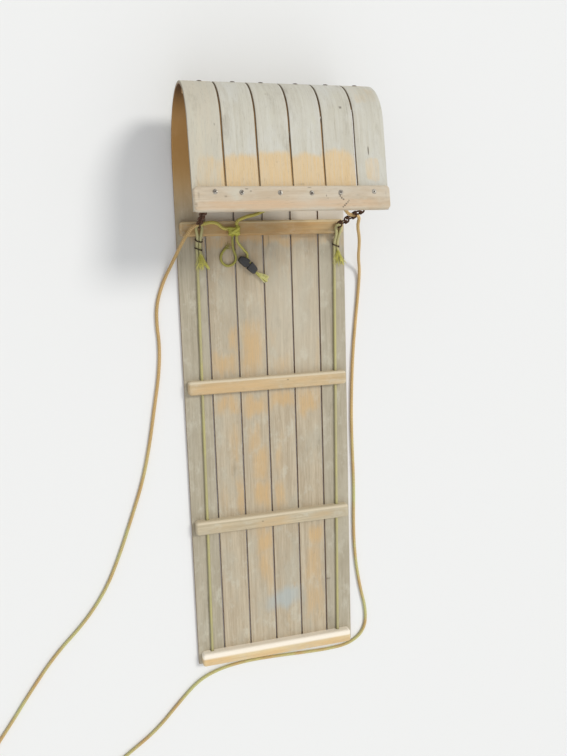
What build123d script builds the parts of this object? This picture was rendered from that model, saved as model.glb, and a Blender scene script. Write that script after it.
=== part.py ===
"""Wooden toboggan: bent slats under crossbars, a nose batten held down by chains, side ropes and a tow rope.

Millimetres. +Y points to the curled nose, +X to the rider's right and +Z up. The running surface lies on z = 0,
and x = 0, y = 0 is the middle of the toboggan in plan.
"""

import os
from math import cos, degrees, pi, radians, sin, tan

from build123d import *

os.makedirs("parts", exist_ok=True)

# Driving sizes of the bed and of the curl
overall_length = 1357
bed_width = 406
slat_count = 6
slat_gap = 2.5
slat_thickness = 7
curl_radius_low = 145
curl_radius_high = 105
lip_rise_deg = 8.5
lip_length = 178
lip_eye_run = 158

# Crossbars, nose batten and the bar inside the curl
front_bar_y = 407
bar_width = 33
bar_height = 20
bar_inset = 8
bar_edge_radius = 5
bar_corner_radius = 7
batten_width = 48
batten_thickness = 12
batten_overhang = 2
batten_edge_radius = 4
batten_corner_radius = 9
batten_inset = 1
hood_bar_width = 34
hood_bar_thickness = 16
hood_bar_angle_deg = 15

# Ropes, ring clamps and chains
tow_rope_diameter = 8
side_rope_diameter = 7
tail_rope_diameter = 6
seat_gap = 0.3
notch_clearance = 1.2
clamp_wall = 1.6
clamp_length = 4
clamp_clearance = 0.6
rope_eye_half_width = 8
link_wire = 3.6
link_width = 16.5
link_count = 10
eye_wire = 3.2
eye_ring_radius = 6
eye_hole_clearance = 0.2
eye_thread_length = 8
wire_sides = 8

# What follows from them
nose_y = overall_length / 2
tail_y = -overall_length / 2
low_centre_y = nose_y - curl_radius_low
high_centre_y = nose_y - curl_radius_high
curl_centre_z = curl_radius_low
lip_angle = 90 - lip_rise_deg
slat_pitch = (bed_width + slat_gap) / slat_count
slat_width = slat_pitch - slat_gap
bar_length = bed_width - 2 * bar_inset
bar_top_z = slat_thickness + bar_height
side_rope_z = slat_thickness + seat_gap + side_rope_diameter / 2
side_x = bed_width / 2

strand_x = side_rope_diameter / 2 + seat_gap / 2
bar_rear_y = front_bar_y - bar_width
held_end_y = bar_rear_y - 66
rope_end_y = tail_y + 6

# Side ropes: name, x and front y of the eye that lies on the first crossbar, x of the tail end, x of the screw
# eye under the lip, and the number of ring clamps behind the crossbar
side_rope_table = [
    ("left", 49 - side_x, front_bar_y - 9, 34 - side_x, 31 - side_x, 2),
    ("right", side_x - 24, front_bar_y - 14, side_x - 39, side_x - 19, 1),
]
left_eye_x = side_rope_table[0][1]
right_eye_x = side_rope_table[1][1]


def side_rope_x(loop_x, tail_x, y):
    """x of a side rope's long straight run where it passes y."""
    held_x = loop_x - strand_x
    share = (held_end_y - y) / (held_end_y - rope_end_y)
    return held_x + (tail_x - held_x) * share


def write(piece, name):
    """Label the finished piece and write its STEP file."""
    piece.part.label = name
    export_step(piece.part, f"parts/{name}.step")


def upper_arc_point(angle_deg, depth):
    """(y, z) on the upper arc of the curl, depth below the outer face; 0 degrees is the very nose."""
    radius = curl_radius_high - depth
    angle = radians(angle_deg)
    return (high_centre_y + radius * cos(angle), curl_centre_z + radius * sin(angle))


def lip_point(run, depth):
    """(y, z) on the straight lip, run along it from the end of the arc, depth below the outer face."""
    y, z = upper_arc_point(lip_angle, depth)
    angle = radians(lip_angle)
    return (y - run * sin(angle), z + run * cos(angle))


def lip_plane(x, run):
    """Plane on the lip's outer face with its Z axis pointing out of the face."""
    y, z = lip_point(run, 0)
    angle = radians(lip_angle)
    return Plane(origin=(x, y, z), x_dir=(1, 0, 0), z_dir=(0, cos(angle), sin(angle)))


# Slats: one strip each, flat over the bed and bent up, over and back at the nose
for number in range(1, slat_count + 1):
    slat_x = (number - (slat_count + 1) / 2) * slat_pitch
    with BuildPart() as slat:
        with BuildSketch(Plane.YZ.offset(slat_x)):
            with BuildLine():
                Line((tail_y, 0), (low_centre_y, 0))
                CenterArc((low_centre_y, curl_centre_z), curl_radius_low, -90, 90)
                CenterArc((high_centre_y, curl_centre_z), curl_radius_high, 0, lip_angle)
                Line(lip_point(0, 0), lip_point(lip_length, 0))
                Line(lip_point(lip_length, 0), lip_point(lip_length, slat_thickness))
                Line(lip_point(lip_length, slat_thickness), lip_point(0, slat_thickness))
                CenterArc((high_centre_y, curl_centre_z), curl_radius_high - slat_thickness, 0, lip_angle)
                CenterArc((low_centre_y, curl_centre_z), curl_radius_low - slat_thickness, -90, 90)
                Line((low_centre_y, slat_thickness), (tail_y, slat_thickness))
                Line((tail_y, slat_thickness), (tail_y, 0))
            make_face()
        extrude(amount=slat_width / 2, both=True)
        for side, loop_x, loop_y, tail_x, eye_x, ring_count in side_rope_table:
            if abs(eye_x - slat_x) < slat_width / 2:
                with BuildSketch(lip_plane(eye_x, lip_eye_run)):
                    Circle(eye_wire / 2 + eye_hole_clearance)
                extrude(amount=-slat_thickness, mode=Mode.SUBTRACT)
    write(slat, f"slat_{number}")

# Crossbars: name, y of the edge towards the nose, and whether the side ropes pass under it in notches
crossbar_table = [
    ("crossbar_front", front_bar_y, False),
    ("crossbar_second", 41.5, True),
    ("crossbar_third", -302.5, True),
    ("crossbar_tail", tail_y + bar_width, True),
]
notch_radius = side_rope_diameter / 2 + notch_clearance
for name, edge_y, notched in crossbar_table:
    bar_y = edge_y - bar_width / 2
    with BuildPart() as crossbar:
        with BuildSketch(Plane.XY.offset(slat_thickness)):
            with Locations((0, bar_y)):
                RectangleRounded(bar_length, bar_width, bar_corner_radius)
        extrude(amount=bar_height)
        fillet(crossbar.faces().sort_by(Axis.Z)[-1].edges(), bar_edge_radius)
        if notched:
            for side, loop_x, loop_y, tail_x, eye_x, ring_count in side_rope_table:
                notch_x = side_rope_x(loop_x, tail_x, bar_y)
                with BuildSketch(Plane.XZ.offset(-edge_y)):
                    with Locations((notch_x, side_rope_z)):
                        Circle(notch_radius)
                    with Locations((notch_x, slat_thickness)):
                        Rectangle(2 * notch_radius, side_rope_z - slat_thickness, align=(Align.CENTER, Align.MIN))
                extrude(amount=bar_width, mode=Mode.SUBTRACT)
    write(crossbar, name)

# Nose batten: a rounded strip on the outer face of the lip that covers the slats' ends
batten_length = bed_width - 2 * batten_inset
with BuildPart() as nose_batten:
    with BuildSketch(Plane.YZ):
        with BuildLine():
            Polyline(
                lip_point(lip_length + batten_overhang, 0),
                lip_point(lip_length + batten_overhang, -batten_thickness),
                lip_point(lip_length + batten_overhang - batten_width, -batten_thickness),
                lip_point(lip_length + batten_overhang - batten_width, 0),
                close=True,
            )
        make_face()
    extrude(amount=batten_length / 2, both=True)
    fillet(nose_batten.edges().filter_by(Axis((0, 0, 0), lip_plane(0, 0).z_dir)), batten_corner_radius)
    fillet(nose_batten.faces().sort_by(Axis.Z)[-1].edges(), batten_edge_radius)
    for side, loop_x, loop_y, tail_x, eye_x, ring_count in side_rope_table:
        with BuildSketch(lip_plane(eye_x, lip_eye_run)):
            Circle(eye_wire / 2 + eye_hole_clearance)
        extrude(amount=eye_thread_length + eye_hole_clearance, mode=Mode.SUBTRACT)
write(nose_batten, "nose_batten")

# Bar inside the curl, shaped to the bend on its back; the nose bolts pull the slats against it
hood_bar_radius = curl_radius_high - slat_thickness - seat_gap
hood_bar_half_angle = degrees(hood_bar_width / 2 / hood_bar_radius)
hood_bar_start = hood_bar_angle_deg - hood_bar_half_angle
with BuildPart() as hood_bar:
    with BuildSketch(Plane.YZ):
        with BuildLine():
            back = CenterArc((high_centre_y, curl_centre_z), hood_bar_radius, hood_bar_start, 2 * hood_bar_half_angle)
            inner_depth = slat_thickness + seat_gap + hood_bar_thickness
            low_corner = upper_arc_point(hood_bar_start, inner_depth)
            high_corner = upper_arc_point(hood_bar_start + 2 * hood_bar_half_angle, inner_depth)
            Polyline(back @ 0, low_corner, high_corner, back @ 1)
        make_face()
    extrude(amount=bar_length / 2, both=True)
write(hood_bar, "hood_bar")


def bend_radii(points):
    """One radius for each inner point: 0.45 of the shorter run beside it over the tangent of half the turn."""
    radii = []
    for before, corner, after in zip(points, points[1:], points[2:]):
        run_in = Vector(*corner) - Vector(*before)
        run_out = Vector(*after) - Vector(*corner)
        turn = radians(run_in.get_angle(run_out))
        radii.append(0.45 * min(run_in.length, run_out.length) / tan(turn / 2))
    return radii


def lay_rope(points, diameter, name):
    """A rope's tube of straight runs and tangent arcs, written as the node name."""
    radii = bend_radii(points)
    with BuildPart() as rope:
        with BuildLine() as route:
            FilletPolyline(*points, radius=radii)
        path = route.wire()
        with BuildSketch(Plane(origin=path @ 0, z_dir=path % 0)):
            Circle(diameter / 2)
        sweep(path=path)
    fill = rope.part.volume / (pi * diameter**2 / 4 * path.length)
    print(f"{name}: length {path.length:.0f}, volume over section times length {fill:.4f}")
    print(f"  radii {[round(radius) for radius in radii]}")
    write(rope, name)


# Each side rope: held in its notches from the tail on, then over the first crossbar's rear edge to an eye on its
# top, and doubled back; (y, z) of the points that both strands share
bound_start = (bar_rear_y - 39, side_rope_z + 1.6)
rise_foot = (bar_rear_y - 18, side_rope_z + 3)
rise_head = (bar_rear_y + 1, bar_top_z + side_rope_diameter / 2 + 2.5)
rope_eye_z = bar_top_z + side_rope_diameter / 2 + link_wire + 2 * seat_gap + 0.2
rope_eye_corner = rope_eye_half_width * tan(radians(22.5))
for side, loop_x, loop_y, tail_x, eye_x, ring_count in side_rope_table:
    near = loop_x - strand_x
    far = loop_x + strand_x
    side_y = loop_y - rope_eye_half_width + rope_eye_corner
    route_points = [
        (tail_x, rope_end_y, side_rope_z),
        (near, held_end_y, side_rope_z),
        (near, *bound_start),
        (near, *rise_foot),
        (near, *rise_head),
        (loop_x - rope_eye_half_width, side_y, rope_eye_z),
        (loop_x - rope_eye_corner, loop_y, rope_eye_z),
        (loop_x + rope_eye_corner, loop_y, rope_eye_z),
        (loop_x + rope_eye_half_width, side_y, rope_eye_z),
        (far, *rise_head),
        (far, *rise_foot),
        (far, *bound_start),
        (far + 8, bound_start[0] - 10, side_rope_z + 0.5),
        (far + 5, bound_start[0] - 21, side_rope_z),
    ]
    lay_rope(route_points, side_rope_diameter, f"side_rope_{side}")

# Ring clamps that bind the two strands behind the first crossbar
ring_runs = [(bound_start, rise_foot), (rise_foot, rise_head)]
clamp_slot = side_rope_diameter + 2 * clamp_clearance
for side, loop_x, loop_y, tail_x, eye_x, ring_count in side_rope_table:
    with BuildPart() as rope_clamps:
        for (start_y, start_z), (end_y, end_z) in ring_runs[:ring_count]:
            middle = (loop_x, (start_y + end_y) / 2, (start_z + end_z) / 2)
            ring_plane = Plane(origin=middle, x_dir=(1, 0, 0), z_dir=(0, end_y - start_y, end_z - start_z))
            with BuildSketch(ring_plane.offset(-clamp_length / 2)):
                SlotCenterToCenter(2 * strand_x, clamp_slot + 2 * clamp_wall)
                SlotCenterToCenter(2 * strand_x, clamp_slot, mode=Mode.SUBTRACT)
            extrude(amount=clamp_length)
    write(rope_clamps, f"rope_clamps_{side}")

# Screw eyes under the lip: the thread goes through the outer slat into the nose batten
eye_drop = slat_thickness + seat_gap + eye_ring_radius + eye_wire / 2
for side, loop_x, loop_y, tail_x, eye_x, ring_count in side_rope_table:
    seat = lip_plane(eye_x, lip_eye_run)
    ring_centre = seat.from_local_coords((0, 0, -eye_drop))
    with BuildPart() as lip_eye:
        with BuildSketch(seat.offset(-eye_drop + eye_ring_radius)):
            Circle(eye_wire / 2)
        extrude(amount=eye_drop - eye_ring_radius + eye_thread_length)
        with BuildSketch(Plane(origin=ring_centre, x_dir=(1, 0, 0), z_dir=(0, 0, 1))):
            with Locations((0, eye_ring_radius)):
                RegularPolygon(eye_wire / 2, wire_sides, rotation=180 / wire_sides)
        revolve(axis=Axis(ring_centre, (1, 0, 0)))
    write(lip_eye, f"lip_eye_{side}")

# Chains: the first link goes round the side rope's eye on the first crossbar, the last one hangs in the screw eye
link_bend = (link_width - link_wire) / 2
link_corner = link_bend * tan(radians(22.5))
for side, loop_x, loop_y, tail_x, eye_x, ring_count in side_rope_table:
    rope_point = Vector(loop_x, loop_y, rope_eye_z)
    eye_centre = lip_plane(eye_x, lip_eye_run).from_local_coords((0, 0, -eye_drop))
    eye_bottom = eye_centre - Vector(0, 0, eye_ring_radius)
    along = (eye_bottom - rope_point).normalized()
    foot = rope_point - along * (side_rope_diameter / 2 + seat_gap + link_wire / 2)
    head = eye_bottom + along * (eye_wire / 2 + seat_gap + link_wire / 2)
    link_step = ((head - foot).length - link_wire - seat_gap) / link_count
    link_inner = link_step + seat_gap
    link_end = (link_inner + link_wire) / 2
    link_side = link_end - link_bend + link_corner
    with BuildPart() as link:
        with BuildLine(Plane.XZ) as outline:
            Polyline(
                (link_bend, 0),
                (link_bend, link_side),
                (link_corner, link_end),
                (-link_corner, link_end),
                (-link_bend, link_side),
                (-link_bend, -link_side),
                (-link_corner, -link_end),
                (link_corner, -link_end),
                (link_bend, -link_side),
                close=True,
            )
        with BuildSketch(Plane(origin=(link_bend, 0, 0), z_dir=(0, 0, 1))):
            RegularPolygon(link_wire / 2, wire_sides)
        sweep(path=outline.wire(), transition=Transition.RIGHT)
    with BuildPart() as chain:
        for index in range(link_count):
            centre = foot + along * ((link_wire + link_inner) / 2 + index * link_step)
            facing = (0, 1, 0) if index % 2 == 0 else (1, 0, 0)
            with Locations(Plane(origin=centre, x_dir=facing, z_dir=along)):
                add(link.part)
    write(chain, f"nose_chain_{side}")

# Knot that joins the tow rope's two ends, resting on the first crossbar
knot_length = 30
knot_width = 25
knot_height = 20
knot_corner_radius = 5
knot_top_chamfer = 4
knot_foot_chamfer = 2
knot_x = left_eye_x + 80
knot_y = front_bar_y - 23
knot_left_x = knot_x - knot_length / 2
knot_front_y = knot_y + knot_width / 2
knot_rear_y = knot_y - knot_width / 2
knot_z = bar_top_z + seat_gap + knot_height / 2
with BuildPart() as join_knot:
    with BuildSketch(Plane.XY.offset(bar_top_z + seat_gap)):
        with Locations((knot_x, knot_y)):
            RectangleRounded(knot_length, knot_width, knot_corner_radius)
    extrude(amount=knot_height)
    chamfer(join_knot.faces().sort_by(Axis.Z)[-1].edges(), knot_top_chamfer)
    chamfer(join_knot.faces().sort_by(Axis.Z)[0].edges(), knot_foot_chamfer)
write(join_knot, "join_knot")

# Tow rope: from the knot through the left chain's first link, down to the ground, out to the left, back along the
# tail and the right side, up through a link of the right chain and under the curl to the knot again
ground = tow_rope_diameter / 2
on_bed = slat_thickness + tow_rope_diameter / 2 + seat_gap
tow_rope_points = [
    (knot_left_x - seat_gap, knot_y + 5, knot_z),
    (knot_left_x - 10, knot_y + 5, knot_z),
    (left_eye_x + 42, 402, 41),
    (left_eye_x + 26, 404.5, 43),
    (left_eye_x + 9, 400.5, 43.7),
    (left_eye_x - 10, 399, 44.1),
    (left_eye_x - 27, 382, 42),
    (left_eye_x - 43, 354, 30),
    (left_eye_x - 61, 318, 15),
    (-238, 274, ground),
    (-255, 226, ground),
    (-258, 180, ground),
    (-254, 130, ground),
    (-259, 64, ground),
    (-275, -18, ground),
    (-291, -104, ground),
    (-312, -190, ground),
    (-345, -280, ground),
    (-377, -364, ground),
    (-414, -446, ground),
    (-468, -520, ground),
    (-543, -592, ground),
    (-606, -676, ground),
    (-654, -746, ground),
    (-700, -808, ground),
    (-725, -876, ground),
    (-712, -944, ground),
    (-662, -990, ground),
    (-592, -1004, ground),
    (-522, -980, ground),
    (-456, -932, ground),
    (-393, -888, ground),
    (-318, -838, ground),
    (-254, -770, ground),
    (-204, -722, ground),
    (-146, -701, ground),
    (-82, -694, ground),
    (-12, -695, ground),
    (62, -699, ground),
    (134, -702, ground),
    (200, -698, ground),
    (243, -666, ground),
    (248, -610, ground),
    (231, -540, ground),
    (219, -456, ground),
    (216, -366, ground),
    (219, -276, ground),
    (217, -186, ground),
    (215, -98, ground),
    (217, -10, ground),
    (222, 80, ground),
    (230, 160, ground),
    (238, 226, ground),
    (242, 284, 7),
    (right_eye_x + 50, 316, 32),
    (right_eye_x + 42, 344, 60),
    (right_eye_x + 31, 365, 88),
    (right_eye_x + 17, 387, 113),
    (right_eye_x + 17, 409.7, 130.6),
    (right_eye_x - 10, 409.7, 131.8),
    (right_eye_x - 18, 423, 130),
    (right_eye_x - 34, 436, 116),
    (right_eye_x - 52, 445, 92),
    (right_eye_x - 71, 450, 62),
    (82, 451, 32),
    (50, 447, on_bed),
    (20, 437, on_bed),
    (-2, 427, 14),
    (-20, 420, 20),
    (-38, 417, 28.5),
    (-55, 412, 35.5),
    (knot_x + 6, 405.5, knot_z),
    (knot_x + 6, knot_front_y + seat_gap, knot_z),
]
lay_rope(tow_rope_points, tow_rope_diameter, "tow_rope")

# Cord lock: a stepped black plastic barrel lying on the slats
lock_thickness = 14
lock_corner_radius = 2
lock_chamfer = 1.5
lock_outline = [(-62, 321), (-56, 327), (-38, 320), (-34, 312), (-27, 311), (-17, 295), (-28, 285), (-59, 311)]
with BuildPart() as cord_lock:
    with BuildSketch(Plane.XY.offset(slat_thickness + seat_gap)):
        with BuildLine():
            Polyline(*lock_outline, close=True)
        make_face()
        fillet(vertices(), lock_corner_radius)
    extrude(amount=lock_thickness)
    chamfer(cord_lock.faces().sort_by(Axis.Z)[-1].edges(), lock_chamfer)
write(cord_lock, "cord_lock")

# Spare ends below the knot: one curls back on itself, the other goes through the cord lock and ends beyond it
tail_on_bed = slat_thickness + tail_rope_diameter / 2 + seat_gap
lock_z = slat_thickness + seat_gap + lock_thickness / 2
tail_rope_points = {
    "tail_rope_loop": [
        (knot_x - 5, knot_rear_y - seat_gap, knot_z),
        (knot_x - 5, 363, knot_z),
        (-77, 354, 27.5),
        (-73, 341, 15),
        (-65, 324, tail_on_bed),
        (-72, 309, tail_on_bed),
        (-89, 304, tail_on_bed),
        (-102, 315, tail_on_bed),
        (-103, 333, tail_on_bed),
        (-91, 345, tail_on_bed),
    ],
    "tail_rope_lock": [
        (knot_x + 5, knot_rear_y - seat_gap, knot_z),
        (knot_x + 5, 363, knot_z),
        (-62, 354, 27),
        (-50, 343, 15.5),
        (-38.7, 331.4, lock_z),
        (-42.3, 322.1, lock_z),
    ],
    "tail_rope_end": [
        (-22.3, 289.7, lock_z),
        (-15.6, 282.3, lock_z),
        (-5, 273, tail_on_bed + 1),
        (6, 267, tail_on_bed),
    ],
}
for name, points in tail_rope_points.items():
    lay_rope(points, tail_rope_diameter, name)
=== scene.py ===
"""A weathered wooden toboggan: six bent slats under four crossbars, a nose batten held down by two chains,
side ropes and a tow rope. Metres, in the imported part's frame: +Y to the nose, +X to the right, +Z up."""

from math import cos, pi, radians, sin

import bpy
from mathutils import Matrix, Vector


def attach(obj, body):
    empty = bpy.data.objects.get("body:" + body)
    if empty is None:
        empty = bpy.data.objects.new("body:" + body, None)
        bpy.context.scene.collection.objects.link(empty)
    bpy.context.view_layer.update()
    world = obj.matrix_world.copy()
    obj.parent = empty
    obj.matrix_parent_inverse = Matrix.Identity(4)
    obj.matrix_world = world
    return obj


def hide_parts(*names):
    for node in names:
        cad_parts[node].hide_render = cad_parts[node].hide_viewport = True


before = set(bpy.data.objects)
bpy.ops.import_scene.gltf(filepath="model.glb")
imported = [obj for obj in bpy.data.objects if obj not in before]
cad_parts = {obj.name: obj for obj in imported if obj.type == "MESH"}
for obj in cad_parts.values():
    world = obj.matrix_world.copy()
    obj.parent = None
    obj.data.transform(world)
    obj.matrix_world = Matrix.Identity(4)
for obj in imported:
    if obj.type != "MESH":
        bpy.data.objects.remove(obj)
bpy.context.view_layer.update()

# Camera, floor and light. The camera stands over the rider's left side and looks down on the whole
# toboggan. The floor is a plain pale sheet. A soft sun stands ahead to the right, a wide faint one behind
# lights the shade under the curl, and an even sky fills the rest.
camera_data = bpy.data.cameras.new("camera")
camera_data.sensor_fit = "VERTICAL"
camera_data.sensor_height = 36
camera_data.lens = 34.62
camera = bpy.data.objects.new("camera", camera_data)
camera.location = (-0.42677, 0.32197, 1.69091)
camera.rotation_euler = (radians(-8.942), radians(-15.776), radians(-1.862))
bpy.context.collection.objects.link(camera)
bpy.context.scene.camera = camera

# Name, strength, spread in degrees, colour, direction it comes from
sun_table = [
    ("sun", 1.35, 16, (1.0, 0.985, 0.955), (0.50, 0.36, 0.79)),
    ("rear sky", 0.75, 60, (0.96, 0.98, 1.0), (0.05, -0.62, 0.78)),
]
for name, energy, spread, colour, direction in sun_table:
    sun_data = bpy.data.lights.new(name, "SUN")
    sun_data.energy = energy
    sun_data.angle = radians(spread)
    sun_data.color = colour
    sun = bpy.data.objects.new(name, sun_data)
    sun.rotation_euler = Vector(direction).to_track_quat("Z", "Y").to_euler()
    bpy.context.collection.objects.link(sun)

sky_strength = 0.52
sky = bpy.data.worlds.new("sky")
sky.use_nodes = True
sky_inputs = sky.node_tree.nodes["Background"].inputs
sky_inputs["Color"].default_value = (0.97, 0.985, 1.0, 1)
sky_inputs["Strength"].default_value = sky_strength
bpy.context.scene.world = sky
bpy.context.scene.view_settings.view_transform = "Standard"

floor_half = 12.0
floor_drop = -0.0003
floor_sides = [(-1, -1), (1, -1), (1, 1), (-1, 1)]
floor_corners = [(x * floor_half, y * floor_half, floor_drop) for x, y in floor_sides]
floor_mesh = bpy.data.meshes.new("floor")
floor_mesh.from_pydata(floor_corners, [], [(0, 1, 2, 3)])
floor = bpy.data.objects.new("floor", floor_mesh)
bpy.context.collection.objects.link(floor)
floor_paint = bpy.data.materials.new("floor")
floor_paint.use_nodes = True
floor_inputs = floor_paint.node_tree.nodes["Principled BSDF"].inputs
floor_inputs["Base Color"].default_value = (0.86, 0.86, 0.85, 1)
floor_inputs["Roughness"].default_value = 0.9
floor_mesh.materials.append(floor_paint)

# Slats: six strips of steamed hardwood, flat under the rider and bent up, over and back at the nose. Each
# strip is laid out flat with rounded corners and slightly uneven edges, and then bent twice, its grain
# along with it. The crossbars and the batten hold the six together, with a gap between each two.
nose_y = 0.6785
low_radius = 0.145
high_radius = 0.105
lip_angle = radians(81.5)
lip_length = 0.178
slat_count = 6
slat_gap = 0.0025
slat_thickness = 0.007
slat_corner = 0.0014
edge_wander = 0.016
strip_steps = 260
corner_steps = 4
flat_crease = radians(11)
crease_range = radians(6)
end_crease = radians(60)
slat_pitch = (0.406 + slat_gap) / slat_count
low_bend_y = nose_y - low_radius
high_bend_y = low_bend_y + low_radius * pi / 2
lip_start_y = high_bend_y + high_radius * lip_angle
strip_end_y = lip_start_y + lip_length


class Field:
    """What comes out of a node. Each sum written with it adds a Math node to the same tree."""

    def __init__(self, socket):
        self.socket = socket
        self.tree = socket.id_data

    def __add__(self, other):
        return calc("ADD", self, other)

    def __sub__(self, other):
        return calc("SUBTRACT", self, other)

    def __rsub__(self, other):
        return calc("SUBTRACT", other, self)

    def __mul__(self, other):
        return calc("MULTIPLY", self, other)

    def __truediv__(self, other):
        return calc("DIVIDE", self, other)

    def __pow__(self, other):
        return calc("POWER", self, other)

    def __abs__(self):
        return calc("ABSOLUTE", self)


def feed(sockets, values):
    """Gives each named or numbered socket its value: a link from a Field, or else a constant."""
    for key, value in values.items():
        if isinstance(value, Field):
            value.tree.links.new(value.socket, sockets[key])
        else:
            sockets[key].default_value = value


def fields(sockets):
    """A node's outputs by name."""
    return {socket.name: Field(socket) for socket in sockets}


def add(tree, kind, inputs=None, output=0, **settings):
    """One output of a new node that has those settings and inputs."""
    node = tree.nodes.new(kind)
    for key, value in settings.items():
        setattr(node, key, value)
    feed(node.inputs, inputs or {})
    return Field(node.outputs[output])


def new_tree(name, kind, inputs, outputs):
    """A node group, its inputs as Fields, and its outputs, both given as names under their socket type."""
    tree = bpy.data.node_groups.new(name, kind)
    for in_out, table in (("INPUT", inputs), ("OUTPUT", outputs)):
        for socket_type, labels in table.items():
            for label in labels.split():
                tree.interface.new_socket(label, in_out=in_out, socket_type="NodeSocket" + socket_type)
    return tree, fields(tree.nodes.new("NodeGroupInput").outputs), tree.nodes.new("NodeGroupOutput").inputs


def geometry_tree(name, **inputs):
    """A tree that takes Geometry and those inputs, and gives Geometry back."""
    shape = {"Geometry": "Geometry"}
    return new_tree(name, "GeometryNodeTree", shape | inputs, shape)


def grouped(tree, group, inputs):
    """The outputs by name of one group node with those inputs."""
    kind = "GeometryNodeGroup" if tree.bl_idname == "GeometryNodeTree" else "ShaderNodeGroup"
    node = tree.nodes.new(kind)
    node.node_tree = group
    feed(node.inputs, inputs)
    return fields(node.outputs)


def combined(kind, *operands, **settings):
    """One node of that kind, in the tree of the first operand that is a Field."""
    tree = next(operand.tree for operand in operands if isinstance(operand, Field))
    return add(tree, kind, dict(enumerate(operands)), **settings)


def calc(operation, *operands):
    """The result of one Math node."""
    return combined("ShaderNodeMath", *operands, operation=operation)


def vector_calc(operation, *operands):
    """The result of one Vector Math node."""
    return combined("ShaderNodeVectorMath", *operands, operation=operation)


def vector(x=0.0, y=0.0, z=0.0):
    """The three values as one vector."""
    return combined("ShaderNodeCombineXYZ", x, y, z)


def split(place):
    """The three values of a vector."""
    node = add(place.tree, "ShaderNodeSeparateXYZ", {0: place}).socket.node
    return [Field(socket) for socket in node.outputs]


def ramp(value, low, high, low_out=0.0, high_out=1.0):
    """value stretched smoothly from low..high to the two outputs, and held beyond them."""
    inputs = {"Value": value, "From Min": low, "From Max": high, "To Min": low_out, "To Max": high_out}
    return add(value.tree, "ShaderNodeMapRange", inputs, interpolation_type="SMOOTHSTEP")


def noise(place, scale, detail=3.0, roughness=0.55):
    """Noise from 0 to 1 at place, with its own scale along each axis."""
    spread = vector_calc("MULTIPLY", place, scale)
    inputs = {"Vector": spread, "Scale": 1.0, "Detail": detail, "Roughness": roughness, "Distortion": 0.0}
    return add(place.tree, "ShaderNodeTexNoise", inputs)


def mix(share, first, second):
    """Two colours mixed: share of the second."""
    return add(share.tree, "ShaderNodeMix", {0: share, 6: first, 7: second}, output=2, data_type="RGBA")


def shade(red, green, blue):
    """A colour given as 8-bit screen values, for a node's socket."""
    levels = [value / 255 for value in (red, green, blue)]
    linear = [level / 12.92 if level <= 0.04045 else ((level + 0.055) / 1.055) ** 2.4 for level in levels]
    return (*linear, 1.0)


def new_paint(name):
    """A material, its tree, and the place of each point on the piece."""
    material = bpy.data.materials.new(name)
    material.use_nodes = True
    return material, material.node_tree, add(material.node_tree, "ShaderNodeTexCoord", output="Object")


def attribute(tree, name, output="Fac"):
    """An attribute that a piece's tree stored on its mesh."""
    return add(tree, "ShaderNodeAttribute", output=output, attribute_name=name)


def surface(tree, outputs, relief, distance=0.0006):
    """Joins Color, Roughness and Height to the material's shader, with a bump of that strength."""
    raised = {"Height": outputs["Height"], "Strength": relief, "Distance": distance}
    joined = {"Base Color": outputs["Color"], "Roughness": outputs["Roughness"]}
    joined["Normal"] = add(tree, "ShaderNodeBump", raised)
    feed(tree.nodes["Principled BSDF"].inputs, joined)


def position(tree):
    """x, y and z of each point."""
    return split(add(tree, "GeometryNodeInputPosition"))


def store(tree, geometry, name, value, data_type="FLOAT"):
    """The geometry with value stored on its points under that name."""
    inputs = {"Geometry": geometry, "Name": name, "Value": value}
    return add(tree, "GeometryNodeStoreNamedAttribute", inputs, data_type=data_type)


def moved(tree, geometry, **where):
    """The geometry with its points at a Position or pushed by an Offset."""
    return add(tree, "GeometryNodeSetPosition", {"Geometry": geometry} | where)


def tube(tree, path, section, capped=True):
    """A solid whose section follows the path."""
    body = {"Curve": path, "Profile Curve": section, "Fill Caps": capped}
    return add(tree, "GeometryNodeCurveToMesh", body)


def circle(tree, steps, radius):
    """A round section."""
    return add(tree, "GeometryNodeCurvePrimitiveCircle", {"Resolution": steps, "Radius": radius})


def painted(tree, geometry, given, result):
    """Ends a tree: its geometry in the given Material."""
    dressed = {"Geometry": geometry, "Material": given["Material"]}
    feed(result, {"Geometry": add(tree, "GeometryNodeSetMaterial", dressed)})
    return tree


def made_by(tree, name, mesh, values):
    """The plain object that the tree makes out of mesh, with values for the tree's inputs by name."""
    piece = bpy.data.objects.new(name, mesh)
    bpy.context.collection.objects.link(piece)
    modifier = piece.modifiers.new(tree.name, "NODES")
    modifier.node_group = tree
    for item in tree.interface.items_tree:
        if item.in_out == "INPUT" and item.name in values:
            modifier[item.identifier] = values[item.name]
    depsgraph = bpy.context.evaluated_depsgraph_get()
    made = bpy.data.meshes.new_from_object(piece.evaluated_get(depsgraph))
    piece.modifiers.clear()
    piece.data = made
    made.name = name
    return piece


def bend_group():
    """Bends everything past Start up round an axis that lies Radius above z = 0, through Angle."""
    tree, given, result = geometry_tree("bend", Float="Run Start Radius Angle")
    run, start, radius, angle = [given[name] for name in ("Run", "Start", "Radius", "Angle")]
    x, y, z = position(tree)
    past = calc("MAXIMUM", run - start, 0.0)
    turn = calc("MINIMUM", past / radius, angle)
    in_arc = calc("LESS_THAN", past / radius, angle)
    beyond = (y - start - turn * radius) * (1.0 - in_arc)
    reach = radius - z
    sine = calc("SINE", turn)
    cosine = calc("COSINE", turn)
    bent = vector(x, start + (reach * sine + beyond * cosine), radius - reach * cosine + beyond * sine)
    past_start = add(tree, "FunctionNodeCompare", {0: run, 1: start}, operation="GREATER_THAN")
    feed(result, {"Geometry": moved(tree, given["Geometry"], Selection=past_start, Position=bent)})
    return tree


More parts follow.
